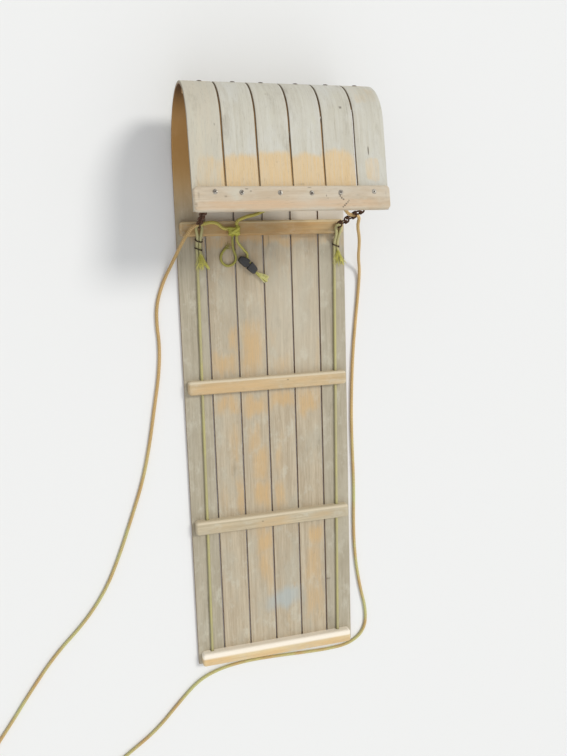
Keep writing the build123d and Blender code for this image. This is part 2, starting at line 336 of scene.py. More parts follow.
def slat_tree(bend):
    """One slat at X: a rounded strip with uneven edges, its grain stored on it, then bent at the nose."""
    tree, given, result = geometry_tree("bent slat", Float="X Number Width", Material="Material")
    ends = {"Start": (0, -nose_y, 0), "End": (0, strip_end_y, 0)}
    line = add(tree, "GeometryNodeCurvePrimitiveLine", ends)
    line = add(tree, "GeometryNodeResampleCurve", {"Curve": line, "Count": strip_steps})
    size = {"Width": given["Width"], "Height": slat_thickness}
    outline = add(tree, "GeometryNodeCurvePrimitiveQuadrilateral", size)
    corners = {"Curve": outline, "Radius": slat_corner, "Count": corner_steps}
    outline = add(tree, "GeometryNodeFilletCurve", corners, mode="POLY")
    strip = tube(tree, line, outline)
    angle = add(tree, "GeometryNodeInputMeshEdgeAngle")
    at_flat = calc("COMPARE", angle, flat_crease, crease_range)
    at_end = calc("GREATER_THAN", angle, end_crease)
    crisp = {"Geometry": strip, "Selection": at_flat + at_end, "Shade Smooth": False}
    strip = add(tree, "GeometryNodeSetShadeSmooth", crisp, domain="EDGE")
    x, y, z = position(tree)
    kept = 1.0 - noise(vector(y, given["Number"]), (9, 3, 1)) * edge_wander
    strip = store(tree, strip, "inset", given["Width"] / 2.0 - abs(x))
    strip = moved(tree, strip, Position=vector(x * kept + given["X"], y, z + slat_thickness / 2))
    x, y, z = position(tree)
    strip = store(tree, strip, "grain", vector(y + nose_y, x, z), "FLOAT_VECTOR")
    strip = store(tree, strip, "board", given["Number"])
    grain = add(tree, "GeometryNodeInputNamedAttribute", {"Name": "grain"}, data_type="FLOAT_VECTOR")
    flat_y = split(grain)[0] - nose_y
    for start, radius, turn in ((high_bend_y, high_radius, lip_angle), (low_bend_y, low_radius, pi / 2)):
        bending = {"Geometry": strip, "Run": flat_y, "Start": start, "Radius": radius, "Angle": turn}
        strip = grouped(tree, bend, bending)["Geometry"]
    return painted(tree, strip, given, result)


def wood_group():
    """Weathered wood. Grain is (along, across, depth) in metres. Warmth is where the old varnish is left."""
    inputs = {"Vector": "Grain", "Float": "Board Warmth Dirt", "Color": "Pale Dark Warm Grey"}
    outputs = {"Color": "Color", "Float": "Roughness Height"}
    tree, given, result = new_tree("weathered wood", "ShaderNodeTree", inputs, outputs)
    board = given["Board"]
    place = vector_calc("ADD", given["Grain"], vector(board * 3.7, 0.0, board * 0.031))
    bands = noise(place, (4, 110, 110), 4)
    lines = noise(place, (12, 420, 420), 3, 0.65)
    pores = noise(place, (55, 1700, 1700), 2)
    ragged = noise(place, (16, 75, 75), 5, 0.65) - 0.5
    # Growth rings: dark late wood in thin lines that wander across the board
    warp = noise(place, (2.2, 9, 9), 2) * 9.0
    ring = calc("SINE", split(place)[1] * 620.0 + warp * 5.0)
    tone = bands * 0.55 + lines * 0.45 - ramp(ring, 0.45, 1.0) * 0.05
    wood = mix(ramp(tone, 0.36, 0.62), given["Dark"], given["Pale"])
    # Weathering: scale, detail and roughness of its noise, range and strength, colour
    weathering = [
        ((7, 17, 17), 4, 0.6, (0.42, 0.68, 0.75), given["Grey"]),
        ((13, 38, 38), 4, 0.62, (0.46, 0.70, 0.55), given["Dark"]),
        ((21, 33, 33), 5, 0.72, (0.50, 0.72, 0.55), shade(206, 202, 184)),
        ((9, 27, 27), 5, 0.7, (0.56, 0.78, 0.40), shade(134, 124, 104)),
    ]
    for scale, detail, roughness, (low, high, most), colour in weathering:
        wood = mix(ramp(noise(place, scale, detail, roughness), low, high, 0.0, most), wood, colour)
    varnish = ramp(given["Warmth"] + ragged, 0.16, 1.0) * ramp(given["Warmth"], 0.0, 0.15)
    warm = mix(ramp(lines, 0.35, 0.65, 0.35, 0.0), given["Warm"], given["Dark"])
    wood = mix(varnish * 0.85, wood, warm)
    wood = mix(ramp(pores, 0.6, 0.75, 0.0, 0.4), wood, shade(112, 94, 72))
    grime = ramp(given["Dirt"] + ragged * 0.8, 0.35, 0.9) * ramp(given["Dirt"], 0.0, 0.1)
    rough = ramp(lines, 0.3, 0.7, 0.6, 0.78) - varnish * 0.16
    height = lines * 0.6 + bands * 0.4 - ramp(pores, 0.6, 0.75, 0.0, 0.5)
    feed(result, {"Color": mix(grime * 0.8, wood, shade(84, 70, 56)), "Roughness": rough, "Height": height})
    return tree


def patch_group():
    """A rounded rectangular mask round Centre, with half sizes Size and an edge as soft as Soft."""
    inputs = {"Vector": "Place Centre Size", "Float": "Soft"}
    tree, given, result = new_tree("patch", "ShaderNodeTree", inputs, {"Float": "Mask"})
    away = vector_calc("DIVIDE", vector_calc("SUBTRACT", given["Place"], given["Centre"]), given["Size"])
    along, across, depth = split(away)
    far = (abs(along) ** 4.0 + abs(across) ** 4.0) ** 0.25
    soft = given["Soft"]
    feed(result, {"Mask": ramp(far, 1.0 - soft, soft * 0.9 + 1.0, 1.0, 0.0)})
    return tree


wood = wood_group()
patch = patch_group()


def strongest(place, patches, soft=0.6):
    """The strongest of several patches at place: (along, across, half along, half across, strength)."""
    mask = 0.0
    for along, across, half_along, half_across, strength in patches:
        size = (half_along, half_across, 1.0)
        where = {"Place": place, "Centre": (along, across, 0.0), "Size": size, "Soft": soft}
        mask = calc("MAXIMUM", mask, grouped(place.tree, patch, where)["Mask"] * strength)
    return mask


# Where old varnish is left on the bed, the last row being painted shadow: along from the tail, across, half
# sizes, strength
bed_patches = [
    (0.753, -0.102, 0.030, 0.033, 0.75),
    (0.809, -0.083, 0.032, 0.016, 0.70),
    (0.785, -0.032, 0.060, 0.029, 0.95),
    (0.807, 0.017, 0.027, 0.012, 0.55),
    (0.746, 0.037, 0.023, 0.032, 0.60),
    (0.763, 0.129, 0.043, 0.010, 0.50),
    (0.654, -0.101, 0.021, 0.035, 0.75),
    (0.549, -0.089, 0.082, 0.015, 0.55),
    (0.649, -0.034, 0.023, 0.030, 0.95),
    (0.564, -0.038, 0.041, 0.018, 0.78),
    (0.499, -0.026, 0.041, 0.020, 0.85),
    (0.659, 0.036, 0.019, 0.032, 0.95),
    (0.523, 0.022, 0.069, 0.015, 0.50),
    (0.646, 0.099, 0.032, 0.026, 0.95),
    (0.426, -0.078, 0.044, 0.011, 0.80),
    (0.435, -0.117, 0.039, 0.011, 0.45),
    (0.426, -0.023, 0.037, 0.022, 0.95),
    (0.422, 0.023, 0.036, 0.018, 0.80),
    (0.305, -0.021, 0.036, 0.023, 0.95),
    (0.235, -0.021, 0.060, 0.018, 0.75),
    (0.295, 0.112, 0.032, 0.021, 0.90),
    (0.222, 0.104, 0.056, 0.022, 0.75),
    (0.128, 0.104, 0.067, 0.028, 0.70),
    (0.084, 0.036, 0.037, 0.010, 0.35),
    (0.169, 0.052, 0.013, 0.005, 0.60),
    (0.985, -0.010, 0.040, 0.120, 0.42),
    (0.930, -0.020, 0.050, 0.030, 0.42),
    # Painted shadow: this band just behind the first crossbar is the bar's shadow, in the varnish's colour.
    (1.044, 0.010, 0.016, 0.190, 0.80),
]
# The same on the outside of the curl, close to the batten
hood_patches = [
    (1.718, -0.104, 0.062, 0.042, 1.00),
    (1.716, -0.034, 0.066, 0.044, 1.00),
    (1.716, 0.034, 0.063, 0.044, 1.00),
    (1.714, 0.096, 0.067, 0.042, 0.95),
    (1.722, -0.164, 0.062, 0.030, 0.55),
    (1.688, 0.172, 0.026, 0.016, 0.55),
    (1.450, -0.170, 0.030, 0.030, 0.42),
    (1.440, 0.150, 0.040, 0.060, 0.45),
    (1.430, -0.060, 0.030, 0.090, 0.38),
    (1.420, 0.034, 0.024, 0.034, 0.38),
    (1.520, 0.170, 0.030, 0.030, 0.34),
]
# Dark spots and stains on the bed and on the outside of the curl
bed_marks = [
    (0.175, 0.143, 0.004, 0.008, 0.70),
    (0.168, 0.050, 0.004, 0.003, 0.60),
    (1.040, 0.014, 0.020, 0.003, 0.60),
    (0.905, -0.052, 0.008, 0.002, 0.50),
    (0.330, -0.150, 0.009, 0.003, 0.50),
    (1.010, 0.108, 0.012, 0.002, 0.50),
    (0.540, 0.126, 0.012, 0.005, 0.45),
    (0.215, -0.104, 0.006, 0.003, 0.45),
]
hood_marks = [
    (1.648, 0.165, 0.010, 0.0016, 1.0),
    (1.560, 0.112, 0.004, 0.004, 0.7),
    (1.530, -0.040, 0.003, 0.003, 0.6),
    (1.505, 0.020, 0.003, 0.002, 0.6),
    (1.600, -0.150, 0.004, 0.002, 0.6),
    (1.722, -0.182, 0.005, 0.004, 0.8),
    (1.712, -0.118, 0.004, 0.010, 0.45),
    (1.716, 0.012, 0.004, 0.020, 0.50),
    (1.672, -0.030, 0.003, 0.003, 0.6),
]
# The fourth and fifth slats are paler towards the nose
bed_frost = [(0.860, 0.062, 0.130, 0.068, 0.42)]
# An old smear of pale blue paint near the tail
blue_smear = {"Centre": (0.141, 0.026, 0.0), "Size": (0.024, 0.042, 1.0), "Soft": 0.7}


def paint_slats():
    """The slats' wood: worn varnish on the grey bed, bleached outside the curl, golden brown inside it under
    painted shade.
    """
    material, tree, place = new_paint("weathered slats")
    grain = attribute(tree, "grain", "Vector")
    inset = attribute(tree, "inset")
    along, across, depth = split(grain)
    plan = vector(along, across)
    # Varnish wears off along wandering edges
    wander = [noise(plan, scale, 3) - 0.5 for scale in ((9, 26, 1), (12, 21, 1))]
    bed_worn = vector(along + wander[0] * 0.07, across + wander[1] * 0.022)
    hood_worn = vector(along + wander[0] * 0.03, across)
    inside = ramp(depth, 0.0045, 0.0055)
    outside = 1.0 - inside
    warmth = inside * strongest(bed_worn, bed_patches, 0.9)
    warmth = warmth + outside * strongest(hood_worn, hood_patches, 0.2)
    stains_and_gap_shade = inside * strongest(plan, bed_marks, 0.9)
    stains_and_gap_shade = stains_and_gap_shade + outside * strongest(plan, hood_marks, 0.9)
    # The slats' side edges are darkened towards the gaps: partly dirt in the joints, partly painted shade.
    stains_and_gap_shade = calc("MAXIMUM", stains_and_gap_shade, ramp(inset, 0.0002, 0.0016, 0.62, 0.0))

    # Outer slats are greyer, and the outside of the curl is bleached
    outer_slat = ramp(abs(across), 0.134, 0.138)
    on_curl = outside * ramp(along, 1.30, 1.40)
    left_edge = ramp(across, -0.150, -0.120, 1.0, 0.0)
    pale = mix(outer_slat, shade(200, 186, 160), shade(187, 177, 155))
    dark = mix(outer_slat, shade(178, 162, 136), shade(168, 158, 136))
    curl_pale = mix(left_edge, shade(209, 206, 193), shade(206, 198, 178))
    curl_grey = mix(left_edge, shade(211, 210, 202), shade(204, 196, 178))
    inputs = {
        "Grain": grain,
        "Board": attribute(tree, "board"),
        "Pale": mix(on_curl, pale, curl_pale),
        "Dark": mix(on_curl, dark, shade(197, 192, 176)),
        "Warm": mix(on_curl, shade(208, 172, 118), shade(220, 186, 130)),
        "Grey": mix(on_curl, shade(184, 176, 156), curl_grey),
        "Warmth": warmth,
        "Dirt": stains_and_gap_shade,
    }
    outputs = grouped(tree, wood, inputs)
    surface(tree, outputs, 0.5)

    # Inside the curl the varnish is whole, under painted shade. The strip before the first crossbar is
    # bleached and painted light.
    under_hood = inside * ramp(along, 1.05, 1.22)
    # Partly painted shade: the golden varnish turns darker deeper into the curl.
    varnish_and_shade_inside = mix(ramp(along, 1.10, 1.28), shade(216, 172, 104), shade(188, 134, 54))
    # Painted shade: dark brown at the top inside of the curl.
    painted_shade_top_inside = inside * ramp(along, 1.30, 1.44)
    # Painted light: the strip before the first crossbar is paler, partly bleached, partly standing in for
    # light reaching under the curl.
    bleached = ramp(along, 1.072, 1.084) * ramp(along, 1.11, 1.17, 1.0, 0.0)
    bleached = ramp(across, -0.160, -0.130) * bleached * inside
    frosted = inside * strongest(bed_worn, bed_frost, 0.9)
    smear = grouped(tree, patch, {"Place": bed_worn} | blue_smear)["Mask"] * inside
    # Fine dark specks of mildew on the bleached outside of the curl
    speckle = ramp(noise(grain, (330, 480, 480), 4, 0.7), 0.56, 0.72, 0.0, 0.5)
    speckle = speckle * ramp(noise(grain, (11, 24, 24), 4, 0.65), 0.40, 0.66, 0.25, 1.0) * on_curl
    # The gap walls are painted brown: partly dirt in the joints, partly painted shade.
    gap_dirt_and_shade = mix(on_curl, shade(150, 112, 74), shade(150, 136, 114))
    layers = [
        (under_hood * 0.85, varnish_and_shade_inside),
        (painted_shade_top_inside * 0.95, shade(72, 44, 18)),
        (bleached * 0.75, shade(228, 220, 206)),
        (frosted, shade(212, 204, 184)),
        (smear * 0.55, shade(172, 188, 192)),
        (speckle, shade(160, 148, 128)),
        (ramp(inset, 0.0, 0.0006, 0.80, 0.0), gap_dirt_and_shade),
    ]
    colour = outputs["Color"]
    for share, layer in layers:
        colour = mix(share, colour, layer)
    feed(tree.nodes["Principled BSDF"].inputs, {"Base Color": colour})
    return material


slat_paint = paint_slats()
bent_slat = slat_tree(bend_group())
for number in range(1, slat_count + 1):
    slat_x = (number - (slat_count + 1) / 2) * slat_pitch
    values = {"X": slat_x, "Number": float(number), "Width": slat_pitch - slat_gap, "Material": slat_paint}
    slat = made_by(bent_slat, f"bent_slat_{number}", bpy.data.meshes.new("strip"), values)
    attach(slat, "root")
    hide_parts(f"slat_{number}")

# Crossbars: four planed hardwood bars with rounded corners, screwed on from below. Their top keeps some
# varnish, and their edge towards the nose is pale, partly worn and partly painted light. The first one lies
# in the shade of the curl, and its colours are painted darker as painted shade.


def wood_paint(name, colours, warm_patches, marks, board):
    """Wood with its grain along X. colours are (pale, dark, warm, grey); the tables are as for the slats."""
    material, tree, place = new_paint(name)
    x, y, z = split(place)
    plan = vector(x, y)
    inputs = {"Grain": place, "Board": board}
    inputs |= {label: shade(*colour) for label, colour in zip(("Pale", "Dark", "Warm", "Grey"), colours)}
    inputs |= {"Warmth": strongest(plan, warm_patches), "Dirt": strongest(plan, marks, 0.8)}
    outputs = grouped(tree, wood, inputs)
    surface(tree, outputs, 0.45)
    return material, outputs["Color"], y


def lit_and_worn_edge(colour, y, edge_y, width, worn):
    """The side towards the nose, from edge_y back, turned to another, paler colour: partly wear, partly
    painted light.
    """
    share = ramp(y, edge_y - width, edge_y - 0.6 * width, 0.0, 0.9)
    feed(colour.tree.nodes["Principled BSDF"].inputs, {"Base Color": mix(share, colour, shade(*worn))})


def paint_node(node, material):
    """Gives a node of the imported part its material."""
    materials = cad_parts[node].data.materials
    materials.clear()
    materials.append(material)


# Name, y of the edge towards the nose, the four colours, width and colour of the pale edge (partly wear,
# partly painted light), patches of varnish, marks
bar_table = [
    (
        "crossbar_front",
        0.407,
        # Painted shade: the first bar's colours are darker and browner for the shade of the curl.
        [(200, 170, 120), (172, 138, 86), (190, 140, 78), (196, 174, 132)],
        0.007,
        (214, 194, 152),
        [(0.0, 0.390, 0.190, 0.030, 0.6)],
        [(0.020, 0.376, 0.030, 0.002, 0.5)],
    ),
    (
        "crossbar_second",
        0.0415,
        [(212, 192, 156), (192, 168, 128), (212, 176, 124), (200, 184, 154)],
        0.007,
        (222, 208, 180),
        [(-0.080, 0.020, 0.110, 0.020, 0.8), (0.100, 0.020, 0.090, 0.020, 0.55)],
        [(0.045, 0.030, 0.004, 0.002, 0.7), (-0.170, 0.012, 0.010, 0.003, 0.5)],
    ),
    (
        "crossbar_third",
        -0.3025,
        [(204, 190, 160), (184, 168, 138), (206, 176, 130), (190, 180, 156)],
        0.007,
        (220, 206, 178),
        [
            (0.000, -0.326, 0.050, 0.016, 0.8),
            (0.120, -0.320, 0.040, 0.010, 0.6),
            (-0.120, -0.322, 0.050, 0.014, 0.4),
        ],
        [(-0.030, -0.318, 0.004, 0.003, 0.7), (0.150, -0.330, 0.008, 0.002, 0.6)],
    ),
    (
        "crossbar_tail",
        -0.6455,
        [(232, 210, 164), (214, 184, 136), (226, 188, 130), (216, 200, 164)],
        0.016,
        (255, 246, 230),
        [
            (-0.160, -0.668, 0.040, 0.012, 0.8),
            (-0.030, -0.670, 0.060, 0.010, 0.6),
            (0.120, -0.668, 0.050, 0.012, 0.6),
        ],
        [(-0.010, -0.650, 0.003, 0.002, 0.8)],
    ),
]
for number, (node, edge_y, colours, edge_width, worn, varnished, marks) in enumerate(bar_table):
    bar_paint, colour, y = wood_paint(node, colours, varnished, marks, 11.0 + number)
    lit_and_worn_edge(colour, y, edge_y, edge_width, worn)
    paint_node(node, bar_paint)

# Nose batten: a rounded hardwood strip over the slats' ends, screwed down through each slat. Its rear
# half kept a tan band of varnish, and the rest is bleached and dented.
batten_colours = [(212, 196, 172), (194, 174, 146), (208, 174, 136), (206, 196, 178)]
batten_warm = [(-0.070, 0.424, 0.130, 0.009, 0.85), (0.100, 0.425, 0.110, 0.009, 0.65)]
batten_marks = [
    (0.0640, 0.4400, 0.0016, 0.0030, 0.7),
    (0.0670, 0.4350, 0.0014, 0.0026, 0.6),
    (0.0910, 0.4440, 0.0016, 0.0034, 1.0),
    (0.0930, 0.4395, 0.0016, 0.0030, 1.0),
    (0.0960, 0.4355, 0.0020, 0.0024, 1.0),
    (0.0995, 0.4325, 0.0022, 0.0018, 0.9),
    (0.0980, 0.4175, 0.0020, 0.0016, 0.9),
    (0.1015, 0.4205, 0.0020, 0.0018, 1.0),
    (0.1050, 0.4240, 0.0020, 0.0018, 1.0),
    (0.1085, 0.4270, 0.0020, 0.0018, 0.9),
    (0.1110, 0.4300, 0.0016, 0.0020, 0.8),
    (-0.0980, 0.4540, 0.0050, 0.0016, 0.8),
    (-0.0900, 0.4500, 0.0030, 0.0024, 0.7),
    (0.0300, 0.4560, 0.0060, 0.0015, 0.7),
    (-0.1400, 0.4400, 0.0040, 0.0030, 0.6),
    (-0.1920, 0.4400, 0.0030, 0.0140, 0.5),
    (-0.1980, 0.4250, 0.0040, 0.0060, 0.6),
    (0.1920, 0.4400, 0.0030, 0.0120, 0.5),
]
# x of each screw, and how far along the lip it stands
screw_table = [
    (-0.160, 0.143),
    (-0.108, 0.145),
    (-0.031, 0.146),
    (0.034, 0.147),
    (0.095, 0.146),
    (0.167, 0.145),
]
lip_start_plan_y = 0.5895
batten_stains = [(x, lip_start_plan_y - run, 0.0085, 0.0085, 0.42) for x, run in screw_table]
batten_paint = wood_paint("batten", batten_colours, batten_warm, batten_marks + batten_stains, 17.0)[0]
paint_node("nose_batten", batten_paint)

# Bar inside the curl: a plain hardwood bar that the nose bolts pull the slats against. It lies in the
# shade, and its varnish is still golden.
hood_bar_colours = [(206, 166, 110), (178, 134, 82), (200, 150, 90), (190, 156, 108)]
paint_node("hood_bar", wood_paint("hood bar", hood_bar_colours, [], [], 19.0)[0])

# Nose bolts: dark steel bolts in one row near the top of the curl, one through each slat and the bar
# inside. Their round heads stand a little proud of the bend, and domed nuts close them on the bar's inner
# side.
nose_bolt_x = [-0.162, -0.094, -0.035, 0.039, 0.105, 0.170]
nose_bolt_angle = radians(15)
hood_bar_thickness = 0.016
seat_gap = 0.0003
head_sink = 0.0001
slot_depth = 0.0005
head_segments = 24
head_rings = 16


def aimed_at(tree, direction, axis="Z"):
    """The rotation that turns that axis to the direction."""
    return add(tree, "FunctionNodeAlignRotationToVector", {"Vector": direction}, axis=axis)


def turned(tree, rotation, axis, angle):
    """The rotation followed by a turn round its own axis."""
    spin = add(tree, "FunctionNodeAxisAngleToRotation", {"Axis": axis, "Angle": angle})
    both = {"Rotation": rotation, "Rotate By": spin}
    return add(tree, "FunctionNodeRotateRotation", both, rotation_space="LOCAL")


def drawn(tree, low, high, seed):
    """A random number for each point."""
    return add(tree, "FunctionNodeRandomValue", {2: low, 3: high, "Seed": seed}, output=1)


def on_points(tree, points, piece, rotation, **more):
    """A real copy of the piece on every point."""
    laid = {"Points": points, "Instance": piece, "Rotation": rotation} | more
    copies = add(tree, "GeometryNodeInstanceOnPoints", laid)
    return add(tree, "GeometryNodeRealizeInstances", {"Geometry": copies})


def fastener_tree():
    """A round head on every given point, turned to Out, with the place of its cross slot stored on it."""
    inputs = {"Float": "Radius Rise Slot", "Vector": "Out", "Material": "Material"}
    tree, given, result = geometry_tree("fasteners", **inputs)
    ball = {"Segments": head_segments, "Rings": head_rings, "Radius": 1.0}
    head = add(tree, "GeometryNodeMeshUVSphere", ball)
    x, y, z = position(tree)
    out = calc("SQRT", x * x + y * y)
    cross = calc("MINIMUM", abs(x), abs(y))
    cut = ramp(cross, 0.10, 0.16, 1.0, 0.0) * ramp(out, 0.50, 0.62, 1.0, 0.0) * given["Slot"]
    height = z * given["Rise"] - cut * slot_depth
    shaped = vector(x * given["Radius"], y * given["Radius"], height)
    head = moved(tree, store(tree, head, "cut", cut), Position=shaped)
    rotation = turned(tree, aimed_at(tree, given["Out"]), (0, 0, 1), drawn(tree, 0.0, pi, 4))
    return painted(tree, on_points(tree, given["Geometry"], head, rotation), given, result)


def rust_group():
    """Rusty steel from Bare to Rust: Wear is how much of it has rusted."""
    inputs = {"Vector": "Place", "Color": "Bare Rust", "Float": "Wear"}
    outputs = {"Color": "Color", "Float": "Roughness Height Metal"}
    tree, given, result = new_tree("rusty steel", "ShaderNodeTree", inputs, outputs)
    coarse = noise(given["Place"], (240, 240, 240), 5, 0.65)
    fine = noise(given["Place"], (1300, 1300, 1300), 3, 0.6)
    rusted = ramp(given["Wear"] + (coarse - 0.5) * 1.6, 0.3, 0.7)
    crust = mix(ramp(fine, 0.35, 0.65), given["Rust"], shade(58, 38, 27))
    sent = {"Color": mix(rusted, given["Bare"], crust), "Height": fine * 0.4 + rusted * 0.6}
    sent |= {"Roughness": ramp(rusted, 0.0, 1.0, 0.42, 0.85), "Metal": ramp(rusted, 0.2, 0.9, 0.9, 0.05)}
    feed(result, sent)
    return tree


rust = rust_group()


def steel_paint(name, bare, rusty, wear):
    """A steel of its own that the rust group paints, with painted shade in a driver's slot where the mesh has
    one.
    """
    material, tree, place = new_paint(name)
    outputs = grouped(tree, rust, {"Place": place, "Bare": shade(*bare), "Rust": shade(*rusty), "Wear": wear})
    surface(tree, outputs, 0.5, 0.0003)
    # Painted shade: the cross slot is darkened.
    slot_shaded = mix(attribute(tree, "cut") * 0.8, outputs["Color"], shade(38, 33, 30))
    feed(tree.nodes["Principled BSDF"].inputs, {"Metallic": outputs["Metal"], "Base Color": slot_shaded})
    return material


def point_cloud(name, points):
    """A mesh of loose points, for a tree to put pieces on."""
    mesh = bpy.data.meshes.new(name)
    mesh.from_pydata([tuple(point) for point in points], [], [])
    return mesh


fasteners = fastener_tree()
bolt_out = Vector((0, cos(nose_bolt_angle), sin(nose_bolt_angle)))
curl_axis = Vector((0, nose_y - high_radius, low_radius))
nut_depth = high_radius - slat_thickness - seat_gap - hood_bar_thickness
bolt_points = [Vector((x, 0, 0)) + curl_axis + bolt_out * (high_radius - head_sink) for x in nose_bolt_x]
nut_points = [Vector((x, 0, 0)) + curl_axis + bolt_out * nut_depth for x in nose_bolt_x]
bolt_paint = steel_paint("bolt steel", (92, 84, 76), (98, 70, 50), 0.55)
values = {"Radius": 0.0052, "Rise": 0.0017, "Out": bolt_out, "Slot": 0.0, "Material": bolt_paint}
nose_bolts = made_by(fasteners, "nose_bolts", point_cloud("bolt points", bolt_points), values)
values |= {"Radius": 0.0048, "Rise": 0.0030, "Out": -bolt_out}
nose_nuts = made_by(fasteners, "nose_nuts", point_cloud("nut points", nut_points), values)

# Batten screws: six steel wood screws with a cross slot in the upper third of the batten, one into each
# slat. Their zinc has gone dull.
batten_top = 0.012
lip_out = Vector((0, cos(lip_angle), sin(lip_angle)))
lip_along = Vector((0, -sin(lip_angle), cos(lip_angle)))
lip_start = curl_axis + lip_out * high_radius
screw_points = []
for x, run in screw_table:
    screw_points.append(lip_start + lip_along * run + lip_out * (batten_top + head_sink) + Vector((x, 0, 0)))
screw_paint = steel_paint("screw steel", (168, 163, 154), (136, 118, 98), 0.40)
values = {"Radius": 0.0050, "Rise": 0.0008, "Out": lip_out, "Slot": 1.0, "Material": screw_paint}
batten_screws = made_by(fasteners, "batten_screws", point_cloud("screw points", screw_points), values)
for heads in (nose_bolts, nose_nuts, batten_screws):
    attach(heads, "root")

# Side ropes: one braided rope down each side, held in the crossbars' notches from the tail on. Each rises
# over the first crossbar's rear edge to an eye on its top, is doubled back, and frays out behind the ring
# clamps.
side_rope_radius = 0.0035
strand_x = 0.00365
bound_start = (0.335, 0.0124)
rise_foot = (0.356, 0.0138)
rise_head = (0.375, 0.0330)
rope_eye_z = 0.0349
rope_eye_half = 0.008
rope_eye_corner = 0.0033
held_end_y = 0.308
rope_end_y = -0.6725
side_rope_z = 0.0108
fibre_rest_z = 0.0078
rope_sides = 24
rope_strands = 6.0
fibre_steps = 8
fibre_sides = 5
fray_scatter = (0.0018, 0.0018, 0.0012)
# Name, x and y of the eye, x of the tail end, x of the screw eye under the lip, ring clamps
side_rope_table = [
    ("left", -0.154, 0.398, -0.169, -0.172, 2),
    ("right", 0.179, 0.393, 0.164, 0.184, 1),
]


def rope_tree():
    """A braided rope along a line: six strands each way round, each crossing stored as weave."""
    tree, given, result = geometry_tree("braided rope", Float="Radius Cell Relief", Material="Material")
    path = add(tree, "GeometryNodeMeshToCurve", {"Mesh": given["Geometry"]})
    spacing = {"Curve": path, "Length": given["Cell"] / 4.0}
    path = add(tree, "GeometryNodeResampleCurve", spacing, mode="LENGTH")
    path = store(tree, path, "run", add(tree, "GeometryNodeSplineParameter", output="Length"))
    ring = circle(tree, rope_sides, given["Radius"])
    ring = store(tree, ring, "turn", add(tree, "GeometryNodeSplineParameter", output="Factor"))
    rope = tube(tree, path, ring)
    forward = add(tree, "GeometryNodeInputNamedAttribute", {"Name": "run"}) / given["Cell"]
    around = add(tree, "GeometryNodeInputNamedAttribute", {"Name": "turn"}) * rope_strands
    first = calc("SINE", (around + forward) * pi)
    second = calc("SINE", (around - forward) * pi)
    over = calc("GREATER_THAN", first * second, 0.0)
    first, second = abs(first), abs(second)
    weave = first**0.35 * second**0.8 * over + second**0.35 * first**0.8 * (1.0 - over)
    normal = add(tree, "GeometryNodeInputNormal")
    sunk = {0: normal, "Scale": (weave - 1.0) * given["Relief"]}
    push = add(tree, "ShaderNodeVectorMath", sunk, operation="SCALE")
    return painted(tree, moved(tree, store(tree, rope, "weave", weave), Offset=push), given, result)


def fray_tree():
    """A tuft of loose fibres that spread from one point towards Out, and lie on a surface at Rest."""
    inputs = {"Int": "Count Seed", "Float": "Length Spread Width Rest Bow"}
    tree, given, result = geometry_tree("fray", **inputs, Vector="Out", Material="Material")
    bow = given["Bow"]
    curve = {"Resolution": fibre_steps, "Start": (0, 0, 0), "Middle": vector(bow * 0.5, 0.04, 0.55)}
    curve |= {"End": vector(bow, bow * 0.7, 0.95)}
    fibre = add(tree, "GeometryNodeCurveQuadraticBezier", curve)
    fibre = tube(tree, fibre, circle(tree, fibre_sides, given["Width"] / given["Length"]))
    fibre = store(tree, fibre, "weave", 0.8)
    points = add(tree, "GeometryNodePoints", {"Count": given["Count"]})
    here = {"Geometry": given["Geometry"], "Value": add(tree, "GeometryNodeInputPosition")}
    here = add(tree, "GeometryNodeSampleIndex", here, data_type="FLOAT_VECTOR")
    jitter = {0: [-reach for reach in fray_scatter], 1: fray_scatter, "Seed": given["Seed"]}
    jitter = add(tree, "FunctionNodeRandomValue", jitter, data_type="FLOAT_VECTOR")
    points = moved(tree, points, Position=vector_calc("ADD", here, jitter))
    rotation = aimed_at(tree, given["Out"])
    for axis, low, high in (((0, 0, 1), -pi, pi), ((1, 0, 0), -1.0, 1.0), ((0, 0, 1), -pi, pi)):
        angle = drawn(tree, low, high, given["Seed"] + (axis[0] * 7.0 + low))
        if axis[0]:
            angle = angle * given["Spread"]
        rotation = turned(tree, rotation, axis, angle)
    size = drawn(tree, 0.45, 1.0, 9) * given["Length"]
    tuft = on_points(tree, points, fibre, rotation, Scale=vector(size, size, size))
    x, y, z = position(tree)
    tuft = moved(tree, tuft, Position=vector(x, y, calc("MAXIMUM", z, given["Rest"] + z * 0.03)))
    return painted(tree, tuft, given, result)


def cord_group():
    """Braided polypropylene: Lit on the strands, Deep as painted shade between them and in dark flecks, Faded
    in places along its length.
    """
    inputs = {"Vector": "Place", "Float": "Weave", "Color": "Lit Deep Faded"}
    outputs = {"Color": "Color", "Float": "Roughness Height"}
    tree, given, result = new_tree("braided cord", "ShaderNodeTree", inputs, outputs)
    cloud = noise(given["Place"], (16, 16, 16), 3)
    speck = noise(given["Place"], (520, 520, 520), 3, 0.65)
    fibre = noise(given["Place"], (2600, 2600, 2600), 2)
    tint = mix(ramp(cloud, 0.35, 0.65), given["Lit"], given["Faded"])
    # Painted shade: where the strands dip between crossings the colour goes to Deep.
    tint = mix(ramp(given["Weave"], 0.15, 0.80, 0.80, 0.0), tint, given["Deep"])
    # Dark flecks in the same colour.
    tint = mix(ramp(speck, 0.55, 0.75, 0.0, 0.35), tint, given["Deep"])
    height = fibre * 0.7 + speck * 0.3
    feed(result, {"Color": tint, "Roughness": ramp(speck, 0.3, 0.7, 0.5, 0.7), "Height": height})
    return tree


cord_look = cord_group()


